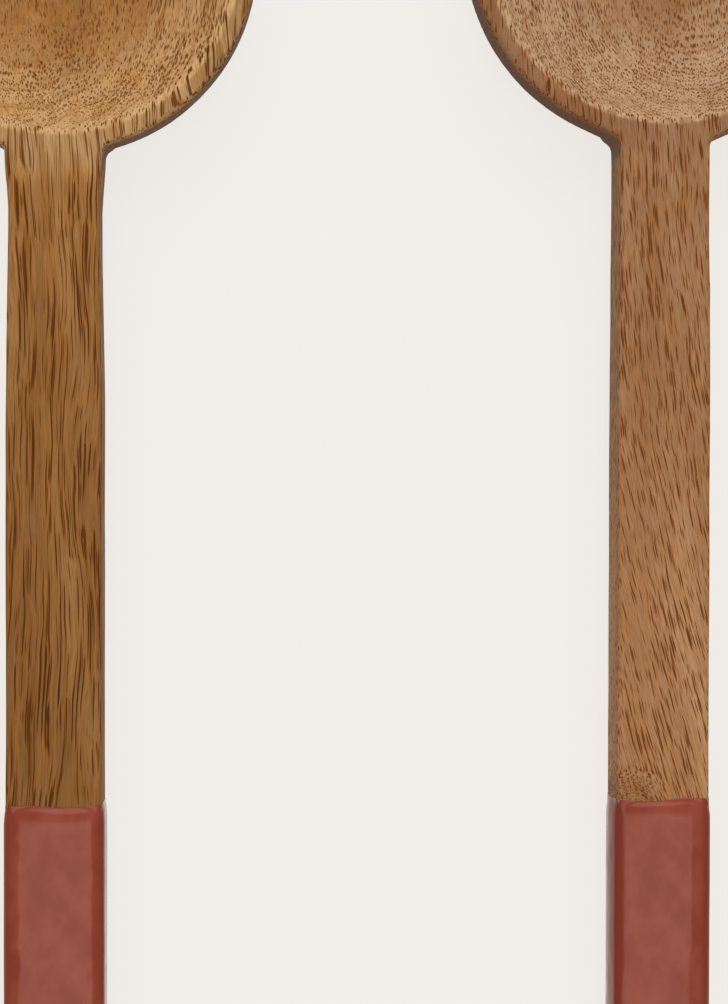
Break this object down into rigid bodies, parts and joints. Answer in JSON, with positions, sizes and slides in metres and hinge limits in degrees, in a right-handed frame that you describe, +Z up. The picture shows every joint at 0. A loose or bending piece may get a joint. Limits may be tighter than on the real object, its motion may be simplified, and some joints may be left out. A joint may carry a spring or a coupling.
{
  "type": "pair of salad servers",
  "caption": "Long wooden salad servers with round hollow bowls and flat handles dipped in coloured enamel, for tossing and serving salad.",
  "frame": {"origin": "on the table, under the middle of the pair's bounding box", "axes": "+X from the left server to the right one, +Y along both servers towards their bowls, +Z up, out of the hollows"},
  "size_m": [0.1764, 0.3034, 0.0168],
  "materials": {
    "left_wood": "oiled mango wood, golden tan with dark streaks",
    "right_wood": "oiled mango wood, pinkish tan with short dark streaks",
    "enamel": "glossy coral resin enamel, dipped"
  },
  "bodies": {
    "left": {"left_server": "left_wood", "left_handle_enamel": "enamel"},
    "right": {"right_server": "right_wood", "right_handle_enamel": "enamel"}
  },
  "joints": [
    {"name": "right_server_lift", "type": "slide", "parent": "left", "child": "right", "axis": [0, 0, 1], "range_m": [0, 0.12]}
  ]
}
